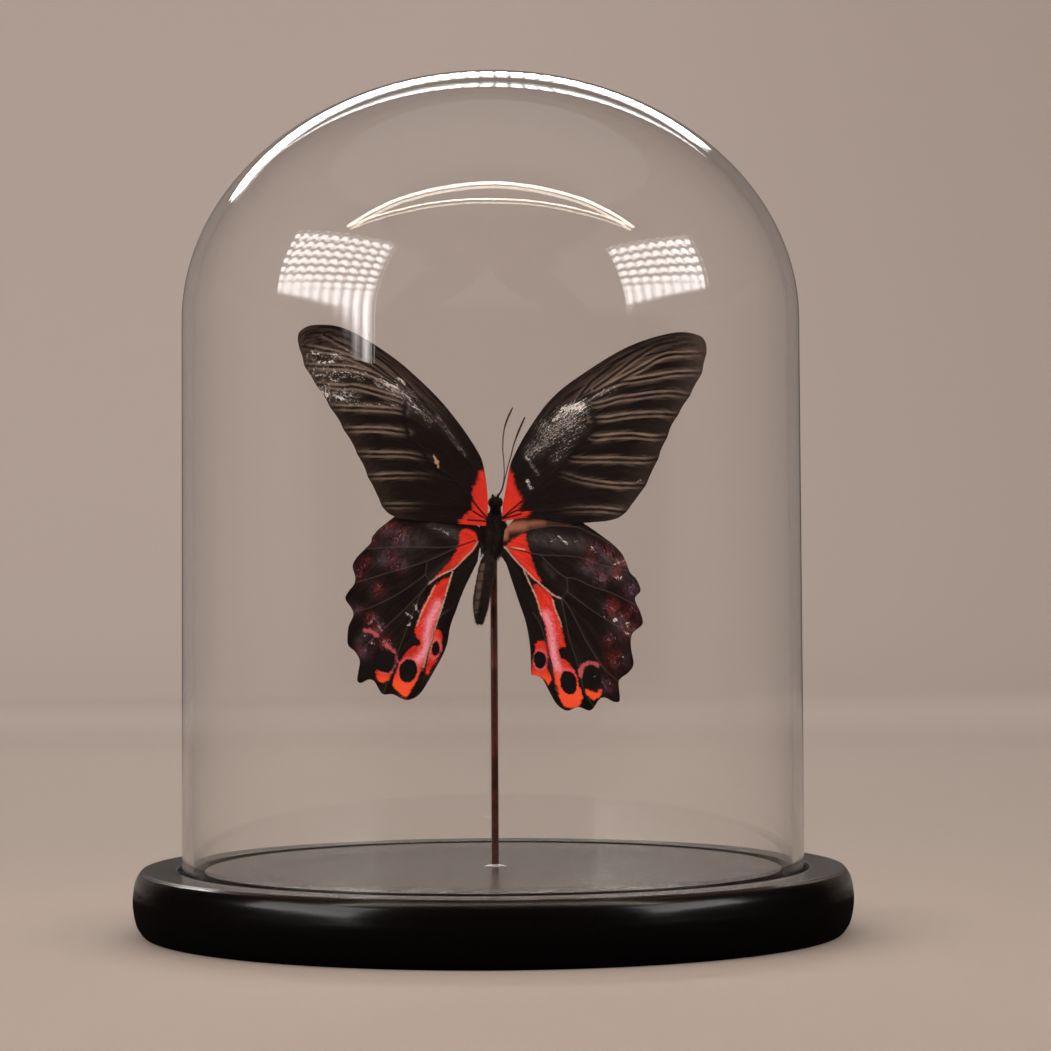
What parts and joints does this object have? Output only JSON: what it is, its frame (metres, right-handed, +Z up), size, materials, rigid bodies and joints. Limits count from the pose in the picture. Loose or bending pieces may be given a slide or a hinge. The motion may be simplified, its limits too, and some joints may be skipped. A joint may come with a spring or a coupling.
{
  "type": "insect in glass dome",
  "caption": "Dried red and black swallowtail butterfly, wings spread, on a thin rod under a clear glass dome that stands in the groove of a black turned wooden base.",
  "frame": {"origin": "middle of the base's underside", "axes": "+Z up, +X to the right, -Y the front, to which the butterfly turns its back"},
  "size_m": [0.1996, 0.1996, 0.2384],
  "materials": {
    "black_wood": "satin black lacquer over turned wood",
    "clear_glass": "clear, polished",
    "brown_metal": "glossy dark red-brown",
    "clear_glue": "clear, glossy",
    "body_hair": "short black hair over horn",
    "forewing_scales": "velvety brown-black scales, pale stripes, scarlet at the root",
    "hindwing_scales": "velvety black scales with scarlet bands and ringed spots",
    "dark_horn": "dark, slightly glossy horn"
  },
  "bodies": {
    "root": {"base": "black_wood", "glass_dome": "clear_glass", "rod": "brown_metal", "glue_ring": "clear_glue", "thorax": "body_hair", "head": "body_hair", "abdomen": "body_hair", "forewing_left": "forewing_scales", "forewing_right": "forewing_scales", "hindwing_left": "hindwing_scales", "hindwing_right": "hindwing_scales", "antenna_left": "dark_horn", "antenna_right": "dark_horn", "leg_fore_left": "dark_horn", "leg_fore_right": "dark_horn", "leg_middle_left": "dark_horn", "leg_middle_right": "dark_horn", "leg_hind_left": "dark_horn", "leg_hind_right": "dark_horn"}
  },
  "joints": []
}
